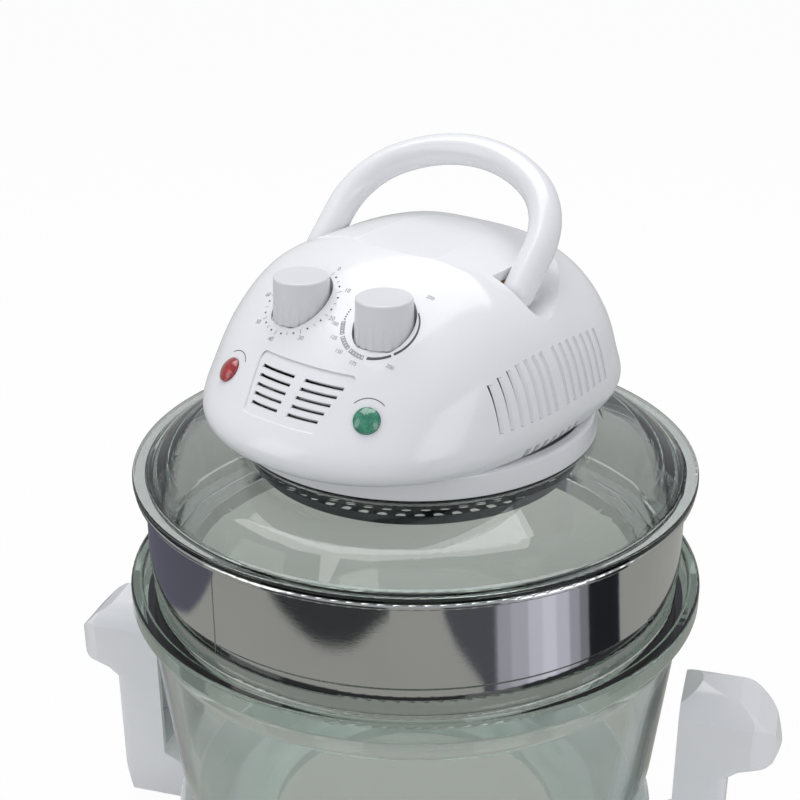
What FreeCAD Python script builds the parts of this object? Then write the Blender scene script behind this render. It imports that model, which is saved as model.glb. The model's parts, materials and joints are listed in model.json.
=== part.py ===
import FreeCAD, Part
import math
import os

import Sketcher
from FreeCAD import Placement, Rotation, Vector

# Countertop convection oven: glass bowl in a stand, steel extender ring, glass lid with a motor head.
# Bench frame: millimetres, origin on the bench under the bowl's axis, +X through the stand's two grips.
# Head frame: origin on the bowl's axis at the lid's rim, +X to the head's right, -Y to its front.

doc = FreeCAD.newDocument("convection_oven")
sheet = doc.addObject("Spreadsheet::Sheet", "sizes")
nodes = {}


class Dim:
    """A number that keeps the formula that made it, so that an object can be bound to it."""

    def __init__(self, value, text):
        self.value = float(value)
        self.text = text

    def __add__(self, other):
        other = dim(other)
        return Dim(self.value + other.value, f"({self.text} + {other.text})")

    def __sub__(self, other):
        other = dim(other)
        return Dim(self.value - other.value, f"({self.text} - {other.text})")

    def __mul__(self, other):
        other = dim(other)
        return Dim(self.value * other.value, f"({self.text} * {other.text})")

    def __truediv__(self, other):
        other = dim(other)
        return Dim(self.value / other.value, f"({self.text} / {other.text})")

    def __neg__(self):
        return Dim(-self.value, f"(0 - {self.text})")

    def __radd__(self, other):
        return dim(other) + self

    def __rsub__(self, other):
        return dim(other) - self

    def __rmul__(self, other):
        return dim(other) * self

    def __float__(self):
        return self.value


def dim(number):
    return number if isinstance(number, Dim) else Dim(number, repr(float(number)))


def size(alias, value):
    """One driving dimension: a row of the sheet with its name and its plain number."""
    row = size.row = getattr(size, "row", 0) + 1
    sheet.set(f"A{row}", alias)
    sheet.set(f"B{row}", str(value))
    sheet.setAlias(f"B{row}", alias)
    return Dim(value, f"sizes.{alias}")


# Whole object
slip = size("slip", 0.2)
running_gap = size("running_gap", 0.05)
head_turn = size("head_turn", -21)
# Stand
bowl_seat = size("bowl_seat", 14)
foot_radius = size("foot_radius", 9)
foot_height = size("foot_height", 8)
foot_recess = size("foot_recess", 2)
foot_circle = size("foot_circle", 128)
stand_outer = size("stand_outer", 152)
stand_hole = size("stand_hole", 92)
stand_lip = size("stand_lip", 22)
stand_wall = size("stand_wall", 3)
arm_gap = size("arm_gap", 6)
arm_depth = size("arm_depth", 31)
arm_top = size("arm_top", 149)
arm_width = size("arm_width", 46)
arm_round = size("arm_round", 6)
beak_reach = size("beak_reach", 29)
beak_height = size("beak_height", 113)
beak_under = size("beak_under", 94)
crown_radius = size("crown_radius", 24)
nose_radius = size("nose_radius", 24)
# Bowl
bowl_height = size("bowl_height", 190)
bowl_foot = size("bowl_foot", 118)
bowl_waist = size("bowl_waist", 150)
bowl_waist_height = size("bowl_waist_height", 62)
bowl_wall_radius = size("bowl_wall_radius", 161)
bowl_glass = size("bowl_glass", 5)
bowl_lip_reach = size("bowl_lip_reach", 9.8)
bowl_lip = size("bowl_lip", 11)
bowl_flare = size("bowl_flare", 27)
bowl_lip_width = size("bowl_lip_width", 7.3)
bowl_ledge = size("bowl_ledge", 5)
# Extender ring
ring_height = size("ring_height", 71)
ring_inset = size("ring_inset", 2.6)
ring_sheet = size("ring_sheet", 0.9)
ring_bead_reach = size("ring_bead_reach", 6)
ring_bead_height = size("ring_bead_height", 3.4)
ring_crease = size("ring_crease", 57)
ring_crease_step = size("ring_crease_step", 1.2)
ring_shelf = size("ring_shelf", 12)
ring_neck = size("ring_neck", 10)
# Lid
lid_overhang = size("lid_overhang", 0.6)
lid_glass = size("lid_glass", 4)
lid_flat = size("lid_flat", 8)
lid_rise = size("lid_rise", 22.5)
lid_seat = size("lid_seat", 107)
lid_hole = size("lid_hole", 98.5)
gasket_height = size("gasket_height", 2)
clamp_sheet = size("clamp_sheet", 1.2)
clamp_inner = size("clamp_inner", 90)
clamp_outer = size("clamp_outer", 104)
clamp_circle = size("clamp_circle", 96.3)
clamp_screw = size("clamp_screw", 1.5)
# Lower housing
skirt_radius = size("skirt_radius", 105.6)
skirt_height = size("skirt_height", 13.5)
skirt_taper = size("skirt_taper", 1.4)
skirt_wall = size("skirt_wall", 3)
floor_height = size("floor_height", 27)
floor_thick = size("floor_thick", 2.5)
shaft_hole = size("shaft_hole", 9)
# Upper housing, a dome longer to its front
hood_base = size("hood_base", 36.5)
hood_waist = size("hood_waist", 48.7)
hood_top = size("hood_top", 132.7)
hood_half = size("hood_half", 104)
hood_front = size("hood_front", 131)
hood_back = size("hood_back", 98)
hood_crown_shift = size("hood_crown_shift", -20)
hood_tuck = size("hood_tuck", 0.08)
hood_wall = size("hood_wall", 2.5)
screw_radius = size("screw_radius", 1.75)
boss_radius = size("boss_radius", 4.5)
boss_side = size("boss_side", 68)
boss_front = size("boss_front", 66)
boss_back = size("boss_back", 48)
louvre_width = size("louvre_width", 2.6)
louvre_pitch = size("louvre_pitch", 6.9)
louvre_low = size("louvre_low", 60)
louvre_top = size("louvre_top", 93.5)
louvre_front = size("louvre_front", -55.5)
louvre_gap = size("louvre_gap", 10.8)
louvre_lean = size("louvre_lean", 9.5)
slot_width = size("slot_width", 4.2)
slot_length = size("slot_length", 5.6)
slot_pitch = size("slot_pitch", 7.4)
slot_height = size("slot_height", 42.2)
grille_top = size("grille_top", 88)
grille_bottom = size("grille_bottom", 63.5)
grille_half_top = size("grille_half_top", 33)
grille_half_bottom = size("grille_half_bottom", 24.5)
grille_depth = size("grille_depth", 1.2)
grille_corner = size("grille_corner", 3)
grille_margin = size("grille_margin", 3.5)
grille_rib = size("grille_rib", 3.4)
grille_slot = size("grille_slot", 1.7)
grille_slot_low = size("grille_slot_low", 67.6)
grille_slot_pitch = size("grille_slot_pitch", 3.55)
# Controls
knob_radius = size("knob_radius", 16)
knob_height = size("knob_height", 24)
knob_top = size("knob_top", 122.5)
knob_side = size("knob_side", 28)
knob_front = size("knob_front", 65)
knob_wall = size("knob_wall", 2.2)
flute_radius = size("flute_radius", 1.6)
flute_depth = size("flute_depth", 0.55)
well_gap = size("well_gap", 1)
control_shaft = size("control_shaft", 3)
lens_radius = size("lens_radius", 7)
green_side = size("green_side", 46.5)
green_height = size("green_height", 71.8)
red_side = size("red_side", 50.5)
red_height = size("red_height", 74)
lens_proud = size("lens_proud", 2.4)
control_top = size("control_top", 89.5)
control_neck = size("control_neck", 6)
timer_side = size("timer_side", 36)
timer_back = size("timer_back", 4)
timer_depth = size("timer_depth", 26)
bell_radius = size("bell_radius", 17)
bell_height = size("bell_height", 8)
thermostat_radius = size("thermostat_radius", 15)
thermostat_depth = size("thermostat_depth", 14)
# Carry handle
handle_half = size("handle_half", 68)
handle_height = size("handle_height", 79)
handle_tube = size("handle_tube", 9)
handle_corner = size("handle_corner", 48)
handle_corner_angle = size("handle_corner_angle", 57)
handle_lean = size("handle_lean", 46)
handle_fold = size("handle_fold", 70)
pivot_height = size("pivot_height", 114)
pivot_back = size("pivot_back", 0)
pivot_pin = size("pivot_pin", 4)
pocket_gap = size("pocket_gap", 1)
bush_wall = size("bush_wall", 1.5)
bush_collar = size("bush_collar", 1.5)
# Motor and fans
motor_seat = size("motor_seat", 60)
stator_height = size("stator_height", 24)
stator_half = size("stator_half", 30)
stator_limb = size("stator_limb", 10)
coil_reach = size("coil_reach", 23)
coil_width = size("coil_width", 34)
coil_swell = size("coil_swell", 5)
rotor_radius = size("rotor_radius", 15)
air_gap = size("air_gap", 0.5)
motor_shaft_radius = size("motor_shaft_radius", 2.5)
bracket_gap = size("bracket_gap", 8)
bracket_sheet = size("bracket_sheet", 2)
bearing_radius = size("bearing_radius", 7)
bearing_height = size("bearing_height", 6)
post_radius = size("post_radius", 3)
post_side = size("post_side", 24)
post_front = size("post_front", 22)
cooling_fan_radius = size("cooling_fan_radius", 38)
cooling_fan_height = size("cooling_fan_height", 11)
oven_fan_radius = size("oven_fan_radius", 46)
oven_fan_height = size("oven_fan_height", 9)
# Heater
pan_sheet = size("pan_sheet", 0.8)
pan_radius = size("pan_radius", 94)
element_radius = size("element_radius", 68)
element_tube = size("element_tube", 3.2)
element_height = size("element_height", 11)
element_bend = size("element_bend", 7)
guard_radius = size("guard_radius", 94)
guard_sheet = size("guard_sheet", 1)
guard_rim = size("guard_rim", 4)
guard_hole = size("guard_hole", 2.9)
guard_pitch = size("guard_pitch", 10.6)
guard_row_inset = size("guard_row_inset", 9)
guard_row_pitch = size("guard_row_pitch", 11)
guard_arc_outer = size("guard_arc_outer", 64)
guard_arc_width = size("guard_arc_width", 14)
guard_arc_web = size("guard_arc_web", 8)
guard_hub = size("guard_hub", 22)
standoff_inset = size("standoff_inset", 7)
standoff_radius = size("standoff_radius", 2.5)
# Mains lead's gland
gland_bore = size("gland_bore", 3.6)
gland_wall = size("gland_wall", 2.9)
gland_height = size("gland_height", 62)

# What follows from them: each piece of the stack fits the one below it
bowl_top = bowl_seat + bowl_height
rim_height = bowl_top + ring_height
bowl_rim = bowl_wall_radius + bowl_lip_reach
bowl_mouth = bowl_rim - bowl_lip_width
arm_inner = bowl_wall_radius + arm_gap
arm_outer = arm_inner + arm_depth
ring_radius = bowl_wall_radius - ring_inset
ring_bead = ring_radius + ring_bead_reach
lid_rim = ring_bead + lid_overhang
bush_radius = pivot_pin + bush_wall
gland_radius = gland_bore + gland_wall
well_floor = knob_top - knob_height - 0.6
cooling_fan_low = motor_seat + stator_height + bracket_gap + bracket_sheet + bearing_height
oven_fan_low = guard_sheet + 6

# How square the dome is: in its section at the sides, front and back, then in plan, front and back
SIDE_POWER = 2.54
FRONT_POWER = 1.21
BACK_POWER = 5.9
FRONT_SQUARE = 2.2
BACK_SQUARE = 3.7
# Where the dome's outlines lie, as shares of the way from its waist to its top
RISE_STEPS = (0, 0.2, 0.38, 0.54, 0.68, 0.79, 0.88, 0.945, 0.985)
OUTLINE_POINTS = 48
# Degrees of the heating element's ring that stay open, at the back
ELEMENT_OPEN = 38
# The first of the seven small slots, from the middle of the side wall
FIRST_SLOT = -37.4


def bind(obj, name, value):
    """Sets a property to a dimension's number and binds it to the dimension's formula."""
    value = dim(value)
    owner = obj
    parts = name.split(".")
    if len(parts) == 1:
        setattr(owner, name, value.value)
    obj.setExpression(name, value.text)


def move(obj, x=0, y=0, z=0, turn=0, axis=(0, 0, 1)):
    """Gives an object its place: bound offsets, then a fixed or bound turn about an axis."""
    offset = Vector(float(x), float(y), float(z))
    obj.Placement = Placement(offset, Rotation(Vector(*axis), float(turn)))
    for letter, value in zip("xyz", (x, y, z)):
        if isinstance(value, Dim):
            obj.setExpression(f"Placement.Base.{letter}", value.text)
    if isinstance(turn, Dim):
        obj.setExpression("Placement.Rotation.Angle", turn.text)
    return obj


def in_head(obj):
    """Puts a piece that was drawn in the head frame in its place on the lid."""
    return move(obj, 0, 0, rim_height, head_turn)


def node(label, obj, head=False):
    """Names a finished sub-part; a bare primitive is wrapped so that it can take the head's place."""
    if head and obj.TypeId in ("Part::Cylinder", "Part::Box", "Part::Cone", "Part::Torus"):
        obj = group(label + "_group", [obj])
    if head:
        in_head(obj)
    obj.Label = label
    nodes[label] = obj
    return obj


def cylinder(name, radius, height, x=0, y=0, z=0, axis=None):
    obj = doc.addObject("Part::Cylinder", name)
    bind(obj, "Radius", radius)
    bind(obj, "Height", height)
    turn, about = {None: (0, (0, 0, 1)), "x": (90, (0, 1, 0)), "y": (-90, (1, 0, 0))}[axis]
    return move(obj, x, y, z, turn, about)


def cone(name, low, high, height, x=0, y=0, z=0):
    obj = doc.addObject("Part::Cone", name)
    bind(obj, "Radius1", low)
    bind(obj, "Radius2", high)
    bind(obj, "Height", height)
    return move(obj, x, y, z)


def box(name, along_x, along_y, along_z, x=0, y=0, z=0):
    """A box centred on x and y that stands on z."""
    obj = doc.addObject("Part::Box", name)
    bind(obj, "Length", along_x)
    bind(obj, "Width", along_y)
    bind(obj, "Height", along_z)
    return move(obj, x - dim(along_x) / 2, y - dim(along_y) / 2, dim(z))


def fuse(name, pieces):
    obj = doc.addObject("Part::MultiFuse", name)
    obj.Shapes = pieces
    obj.Refine = True
    return obj


def cut(name, base, tools):
    tool = tools[0] if len(tools) == 1 else fuse(name + "_tools", tools)
    obj = doc.addObject("Part::Cut", name)
    obj.Base = base
    obj.Tool = tool
    return obj


def group(name, pieces):
    obj = doc.addObject("Part::Compound", name)
    obj.Links = pieces
    return obj


def feature(name, shape):
    obj = doc.addObject("Part::Feature", name)
    obj.Shape = shape
    return obj


def plane_of(body, role):
    return next(item for item in body.Origin.OriginFeatures if item.Role == role)


def outline(body, name, role, points):
    """A closed sketch of straight lines whose corners are bound to dimensions."""
    sketch = body.newObject("Sketcher::SketchObject", name)
    sketch.AttachmentSupport = [(plane_of(body, role), "")]
    sketch.MapMode = "FlatFace"
    corners = [(dim(p[0]), dim(p[1])) for p in points]
    count = len(corners)
    for index, (across, up) in enumerate(corners):
        after = corners[(index + 1) % count]
        start = Vector(across.value, up.value, 0)
        end = Vector(after[0].value, after[1].value, 0)
        sketch.addGeometry(Part.LineSegment(start, end), False)
    for index in range(count):
        sketch.addConstraint(Sketcher.Constraint("Coincident", index, 2, (index + 1) % count, 1))
    for index, (across, up) in enumerate(corners):
        pin(sketch, "DistanceX", -2, index, across)
        pin(sketch, "DistanceY", -1, index, up)
    return sketch


def pin(sketch, kind, axis, index, value):
    """Holds one corner's distance from the origin, or holds it on the axis at zero."""
    if value.value == 0 and "sizes" not in value.text:
        sketch.addConstraint(Sketcher.Constraint("PointOnObject", index, 1, axis))
        return
    number = sketch.addConstraint(Sketcher.Constraint(kind, -1, 1, index, 1, value.value))
    sketch.setExpression(f"Constraints[{number}]", value.text)


def turned(label, points):
    """A body of revolution about Z; a point may carry the radius of its rounded edge."""
    body = doc.addObject("PartDesign::Body", label)
    sketch = outline(body, label + "_profile", "XZ_Plane", points)
    solid = body.newObject("PartDesign::Revolution", label + "_turn")
    solid.Profile = sketch
    solid.ReferenceAxis = (sketch, ["V_Axis"])
    solid.Angle = 360
    doc.recompute()
    for radius in sorted({float(p[2]) for p in points if len(p) > 2}, reverse=True):
        marks = [(float(p[0]), float(p[1])) for p in points if len(p) > 2 and float(p[2]) == radius]
        edges = [f"Edge{i + 1}" for i, edge in enumerate(solid.Shape.Edges) if at_mark(edge, marks)]
        fillet = body.newObject("PartDesign::Fillet", label + "_round")
        fillet.Base = (solid, edges)
        fillet.Radius = radius
        doc.recompute()
        solid = fillet
    return body


def at_mark(edge, marks):
    """True for a circle about Z whose radius and height are those of a marked corner."""
    curve = edge.Curve
    if not isinstance(curve, Part.Circle):
        return False
    return any(abs(curve.Radius - r) < 0.01 and abs(curve.Center.z - z) < 0.01 for r, z in marks)


def around(count, radius, start=0):
    """Evenly spaced places on a circle: x, y and the angle."""
    for index in range(count):
        angle = start + 360 * index / count
        across = dim(radius) * math.cos(math.radians(angle))
        along = dim(radius) * math.sin(math.radians(angle))
        yield across, along, angle


def dome_reach(height, inset):
    """Half width, front reach, back reach and crown shift of the dome at a height."""
    top = hood_top.value - inset
    waist = hood_waist.value
    rise = max((height - waist) / (top - waist), 0)
    below = max((waist - height) / (waist - hood_base.value), 0)
    tuck = 1 - hood_tuck.value * below**2
    side = (hood_half.value * tuck - inset) * (1 - rise**SIDE_POWER) ** (1 / SIDE_POWER)
    front = (hood_front.value * tuck - inset) * (1 - rise**FRONT_POWER) ** (1 / FRONT_POWER)
    back = (hood_back.value * tuck - inset) * (1 - rise**BACK_POWER) ** (1 / BACK_POWER)
    return side, front, back, hood_crown_shift.value * rise


def dome_outline(height, inset=0.0):
    """The dome's closed outline at a height, squarer behind than in front."""
    side, front, back, shift = dome_reach(height, inset)
    points = []
    for index in range(OUTLINE_POINTS):
        angle = 2 * math.pi * index / OUTLINE_POINTS
        across, along = math.cos(angle), math.sin(angle)
        reach, square = (front, FRONT_SQUARE) if along < 0 else (back, BACK_SQUARE)
        ray = (abs(across / side) ** square + abs(along / reach) ** square) ** (-1 / square)
        points.append(Vector(ray * across, shift + ray * along, height))
    curve = Part.BSplineCurve()
    evenly = [index / OUTLINE_POINTS for index in range(OUTLINE_POINTS + 1)]
    curve.interpolate(Points=points, Parameters=evenly, PeriodicFlag=True)
    return curve


def dome(inset, low):
    """The dome as a solid, every side moved in by an inset and its foot at a height."""
    waist = hood_waist.value
    top = hood_top.value - inset
    heights = [low, (low + waist) / 2] + [waist + step * (top - waist) for step in RISE_STEPS]
    rings = [dome_outline(z, inset) for z in heights]
    columns = []
    run = [0.0]
    for below, above in zip(heights, heights[1:]):
        apart = rings[heights.index(above)].getPole(1) - rings[heights.index(below)].getPole(1)
        run.append(run[-1] + apart.Length)
    for index in range(1, rings[0].NbPoles + 1):
        column = Part.BSplineCurve()
        column.interpolate(Points=[ring.getPole(index) for ring in rings], Parameters=run)
        columns.append(column)
    poles = [column.getPoles() for column in columns]
    skin = Part.BSplineSurface()
    skin.buildFromPolesMultsKnots(poles, rings[0].getMultiplicities(), columns[0].getMultiplicities(),
                                  rings[0].getKnots(), columns[0].getKnots(), True, False, 3, 3)
    ends = [Part.Face(Part.Wire(ring.toShape())) for ring in (rings[0], rings[-1])]
    shell = Part.Shell([skin.toShape()] + ends)
    shell.sewShape()
    solid = Part.Solid(shell)
    return solid if solid.Volume > 0 else solid.reversed()


def dome_front(x, z):
    """The front skin's place and outward normal at a width and a height."""
    def skin(across, height):
        side, front, _, shift = dome_reach(height, 0)
        return shift - front * (1 - (abs(across) / side) ** FRONT_SQUARE) ** (1 / FRONT_SQUARE)
    step = 0.5
    y = skin(x, z)
    along_x = Vector(2 * step, skin(x + step, z) - skin(x - step, z), 0)
    along_z = Vector(0, skin(x, z + step) - skin(x, z - step), 2 * step)
    return Vector(x, y, z), along_x.cross(along_z).normalize()


def make_stand():
    """Moulded stand: a dished ring with two hollow upright grips, open towards the bowl."""
    under = foot_height - foot_recess
    ring = turned("stand_ring", [
        (stand_hole, under, 1), (stand_outer - 6, under, 3), (stand_outer, under + 6, 3),
        (stand_outer, bowl_seat + stand_lip, 1.2), (stand_outer - stand_wall, bowl_seat + stand_lip, 1.2),
        (bowl_foot + 12, bowl_seat - slip), (stand_hole, bowl_seat - slip, 1)])
    arms = doc.addObject("PartDesign::Body", "stand_arm")
    tip = arm_outer + beak_reach
    profile = outline(arms, "arm_profile", "XZ_Plane", [
        (stand_outer - 14, under), (arm_outer - 6, under), (arm_outer, under + 24), (arm_outer, beak_under),
        (arm_outer + 6, beak_under + 5), (tip - 4, beak_height - 7), (tip, beak_height + 1),
        (tip - 4, beak_height + 12), (tip - 15, beak_height + 24), (arm_outer + 3, arm_top - 4),
        (arm_inner + 11, arm_top), (arm_inner, arm_top - 8), (arm_inner, bowl_seat + stand_lip + 4),
        (stand_outer - 14, bowl_seat + stand_lip - 12)])
    pad = arms.newObject("PartDesign::Pad", "arm_pad")
    pad.Profile = profile
    bind(pad, "Length", arm_width)
    pad.Midplane = True
    doc.recompute()
    edges = [f"Edge{i + 1}" for i, edge in enumerate(pad.Shape.Edges) if outer_arm_edge(edge)]
    rounds = arms.newObject("PartDesign::Fillet", "arm_round_edges")
    rounds.Base = (pad, edges)
    bind(rounds, "Radius", arm_round)
    doc.recompute()
    hollow = outline(arms, "arm_hollow", "XZ_Plane", [
        (arm_inner - 1, bowl_seat + stand_lip + 8), (arm_outer - stand_wall, bowl_seat + stand_lip + 8),
        (arm_outer - stand_wall, beak_under + 6), (tip - 18, beak_height - 6), (tip - 16, beak_height + 2),
        (tip - 28, beak_height + 18), (arm_inner - 1, arm_top - 16)])
    pocket = arms.newObject("PartDesign::Pocket", "arm_pocket")
    pocket.Profile = hollow
    bind(pocket, "Length", arm_width - 2 * (stand_wall + 0.5))
    pocket.Midplane = True
    doc.recompute()
    crown = cylinder("arm_crown", crown_radius, tip * 2, -tip, 0, arm_top - crown_radius, "x")
    below = box("arm_below", tip * 2, crown_radius * 2, arm_top - crown_radius, 0, 0, 0)
    nose = cylinder("arm_nose", nose_radius, arm_top * 2, tip - nose_radius, 0, 0)
    behind = box("arm_behind", tip - nose_radius, nose_radius * 2, arm_top * 2, (tip - nose_radius) / 2, 0, 0)
    soft = doc.addObject("Part::MultiCommon", "arm_soft")
    soft.Shapes = [arms, fuse("arm_over", [crown, below]), fuse("arm_plan", [nose, behind])]
    other = doc.addObject("Part::Mirroring", "stand_arm_left")
    other.Source = soft
    other.Normal = (1, 0, 0)
    whole = fuse("stand_whole", [ring, soft, other])
    feet = [cylinder("foot_seat", foot_radius + slip, foot_recess, x, y, under)
            for x, y, _ in around(4, foot_circle, 45)]
    node("base_stand", cut("stand_cut", whole, feet))
    rubber = []
    for x, y, _ in around(4, foot_circle, 45):
        sole = cone("foot_sole", foot_radius - 1, foot_radius, under, x, y, 0)
        rubber.append(fuse("foot", [sole, cylinder("foot_plug", foot_radius, foot_recess, x, y, under)]))
    node("base_feet", group("feet_group", rubber))


def outer_arm_edge(edge):
    """True for the long edges of a grip that a hand meets, above its foot and outside the bowl."""
    middle = edge.BoundBox.Center
    flat = edge.BoundBox.YLength < 0.01
    high = edge.BoundBox.ZMax > beak_under.value - 60
    outside = edge.BoundBox.XMax > arm_inner.value + 1
    return flat and high and outside and abs(middle.y) > 1


def make_bowl():
    """Glass bowl with a flared lip and an inner ledge that carries the extender ring."""
    lip_under = bowl_top - bowl_lip
    wall_top = bowl_top - bowl_flare
    waist = bowl_seat + bowl_waist_height
    ledge = bowl_top - bowl_ledge
    inner = bowl_wall_radius - bowl_glass
    body = turned("glass_bowl", [
        (0, bowl_seat), (bowl_foot, bowl_seat, 22), (bowl_waist, waist, 30), (bowl_wall_radius, wall_top, 6),
        (bowl_rim, lip_under, 2.4), (bowl_rim, bowl_top, 2), (bowl_mouth, bowl_top, 2),
        (bowl_mouth, ledge), (inner, ledge, 1.2),
        (inner, wall_top - 4, 8), (bowl_waist - bowl_glass, waist + 1, 26),
        (bowl_foot - 2, bowl_seat + bowl_glass, 18), (0, bowl_seat + bowl_glass)])
    node("glass_bowl", body)


def make_ring():
    """Steel extender: beaded top, plain wall, creased foot that stands on the bowl's inner ledge."""
    sheet_in = ring_radius - ring_sheet
    foot = ring_radius - ring_crease_step
    under_lid = -lid_glass
    bead_low = under_lid - ring_bead_height
    shelf = slip - ring_height - bowl_ledge
    neck = foot - ring_shelf
    body = turned("extender_ring", [
        (sheet_in - 0.6, under_lid), (ring_bead, under_lid, 1.2), (ring_bead, bead_low, 1.2),
        (ring_radius, bead_low, 0.6), (ring_radius, -ring_crease, 0.5), (foot, -ring_crease - 1.6, 0.5),
        (foot, shelf, 2.4), (neck, shelf, 2), (neck - 1.4, shelf - ring_neck),
        (neck - 1.4 - ring_sheet, shelf - ring_neck), (neck - ring_sheet, shelf + ring_sheet, 1),
        (foot - ring_sheet, shelf + ring_sheet, 1.5), (foot - ring_sheet, -ring_crease - 1.2, 0.5),
        (sheet_in, -ring_crease + 0.5, 0.5), (sheet_in, under_lid - ring_sheet * 1.5)])
    node("extender_ring", in_head(body))


def make_lid():
    """Glass lid: flat rim, shallow dome with a flat collar for the head, and a large hole."""
    inner_lip = lid_rim - lid_flat
    under = lid_rise - lid_glass
    shoulder = lid_seat + (inner_lip - lid_seat) * 0.68
    body = turned("glass_lid", [
        (lid_hole, lid_rise, 0.8), (lid_seat, lid_rise, 20), (shoulder, 11, 30), (inner_lip, 0, 3),
        (lid_rim, 0, 1.6), (lid_rim, -lid_glass + slip, 1.2), (inner_lip - 1, -lid_glass + slip),
        (inner_lip - 1.4, -lid_glass - 3.4, 1), (inner_lip - 5, -lid_glass - 3.4, 1), (shoulder - 3, 6, 26),
        (lid_seat - 1, under, 16), (lid_hole, under, 0.8)])
    node("glass_lid", in_head(body))
    seal = turned("lid_gasket", [
        (lid_hole + 0.5, lid_rise), (lid_hole + 5, lid_rise), (lid_hole + 5, lid_rise + gasket_height),
        (lid_hole + 0.5, lid_rise + gasket_height)])
    node("lid_gasket", in_head(seal))
    plate = turned("clamp_plate", [
        (clamp_inner, under - clamp_sheet), (clamp_outer, under - clamp_sheet, 0.5),
        (clamp_outer, under), (clamp_inner, under)])
    holes = [cylinder("clamp_hole", clamp_screw + slip, clamp_sheet * 3, x, y, under - 2 * clamp_sheet)
             for x, y, _ in around(6, clamp_circle, 20)]
    node("clamp_ring", cut("clamp_ring_cut", plate, holes), True)
    screws = []
    for x, y, _ in around(6, clamp_circle, 20):
        shank = cylinder("clamp_shank", clamp_screw, 12, x, y, under - clamp_sheet - 1)
        screw_head = cylinder("clamp_head", clamp_screw * 2, 1.4, x, y, under - clamp_sheet - 1.4)
        screws.append(fuse("clamp_screw", [shank, screw_head]))
    node("clamp_screws", group("clamp_screw_group", screws), True)


def make_lower_housing():
    """Round skirt that stands on the glass, with a floor for the motor and a plate under the dome."""
    top = lid_rise + skirt_height
    inner = skirt_radius - skirt_wall
    spigot_low = lid_rise - lid_glass
    skirt = turned("skirt_ring", [
        (shaft_hole, floor_height), (pan_radius + slip, floor_height), (pan_radius + slip, spigot_low),
        (lid_hole - slip, spigot_low), (lid_hole - slip, lid_rise + gasket_height),
        (lid_hole + 5 + slip, lid_rise + gasket_height), (lid_hole + 5 + slip, lid_rise + slip / 2),
        (skirt_radius, lid_rise + slip / 2, 0.8), (skirt_radius - skirt_taper, top, 2.4),
        (inner - 4, top), (inner - 4, floor_height + floor_thick), (shaft_hole, floor_height + floor_thick)])
    low = hood_base.value - floor_thick.value
    wire = Part.Wire(dome_outline(low, 2.0).toShape())
    rim_plate = feature("rim_plate", Part.Face(wire).extrude(Vector(0, 0, floor_thick.value)))
    opening = cylinder("plate_opening", inner - 8, floor_thick * 3, 0, 0, dim(low) - floor_thick)
    shell = fuse("skirt_whole", [skirt, cut("plate_ring", rim_plate, [opening])])
    tools = []
    for x, y, _ in around(6, clamp_circle, 20):
        tools.append(cylinder("skirt_screw_bore", clamp_screw, 12, x, y, spigot_low - 1))
    for side in (-1, 1):
        for y in (-boss_front, boss_back):
            tools.append(cylinder("plate_screw_hole", screw_radius + slip, 20, side * boss_side, y,
                                  hood_base - 12))
    for x, y, _ in element_legs():
        tools.append(cylinder("floor_bush_hole", element_tube + 2, 10, x, y, floor_height - 3))
    for side in (-1, 1):
        tools.append(cylinder("post_hole", screw_radius, 10, side * post_side, -post_front, floor_height - 3))
        tools.append(cylinder("post_hole_back", screw_radius, 10, side * post_side, post_front,
                              floor_height - 3))
    tools.append(cylinder("capillary_hole", 2, 30, *capillary_place(), floor_height - 3))
    node("lower_housing", cut("lower_housing_cut", shell, tools), True)


def element_ends():
    """The two ends of the heating element's ring, and the way each runs on towards its leg."""
    for way in (1, -1):
        angle = math.radians(90 - way * ELEMENT_OPEN / 2)
        end = Vector(element_radius.value * math.cos(angle), element_radius.value * math.sin(angle), 0)
        yield end, Vector(-math.sin(angle), math.cos(angle), 0) * way


def element_legs():
    """Where the heating element's two legs turn up through the floor."""
    for end, way in element_ends():
        leg = end + way * element_bend.value
        yield leg.x, leg.y, 0


def element_shape():
    """One tube: a leg down, a bend, most of a ring, a bend and a leg up."""
    lift = Vector(0, 0, element_height.value)
    bend = element_bend.value
    up = Vector(0, 0, 1)
    (right, right_way), (left, left_way) = element_ends()
    half = 1 - math.sqrt(0.5)
    edges = []
    for end, way in ((right, right_way), (left, left_way)):
        start = lift + end
        middle = start + way * (bend * math.sqrt(0.5)) + up * (bend * half)
        turned_up = start + (way + up) * bend
        top = Vector(turned_up.x, turned_up.y, floor_height.value + 14)
        edges.append(Part.Arc(start, middle, turned_up).toShape())
        edges.append(Part.LineSegment(turned_up, top).toShape())
    front = lift + Vector(0, -element_radius.value, 0)
    edges.append(Part.Arc(lift + right, front, lift + left).toShape())
    ordered = Part.Wire(Part.__sortEdges__(edges))
    return swept(ordered, element_tube.value)


def capillary_place():
    return knob_side + 22, -knob_front + 5


def pocket_shape(grow):
    """The space that a leg of the handle sweeps from upright to folded, grown by a margin."""
    radius = handle_tube.value + pocket_gap.value + grow
    low, high = handle_half.value - radius, handle_half.value + 60
    reach = 90.0
    fold = math.radians(handle_fold.value)
    centre = Vector(0, pivot_back.value, pivot_height.value)
    back = Vector(0, math.sin(fold), math.cos(fold))
    under = Vector(0, math.cos(fold), -math.sin(fold))
    corners = [centre + Vector(0, -radius, 0), centre + Vector(0, -radius, reach),
               centre + Vector(0, reach, reach), centre + back * reach + under * radius,
               centre + under * radius]
    face = Part.Face(Part.makePolygon(corners + corners[:1]))
    wedge = face.extrude(Vector(high - low, 0, 0))
    round_end = Part.makeCylinder(radius, high - low, centre, Vector(1, 0, 0))
    pocket = wedge.fuse(round_end).removeSplitter()
    pocket.translate(Vector(low, 0, 0))
    return pocket


def both_sides(shape):
    return [shape, shape.mirror(Vector(0, 0, 0), Vector(1, 0, 0))]


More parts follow.
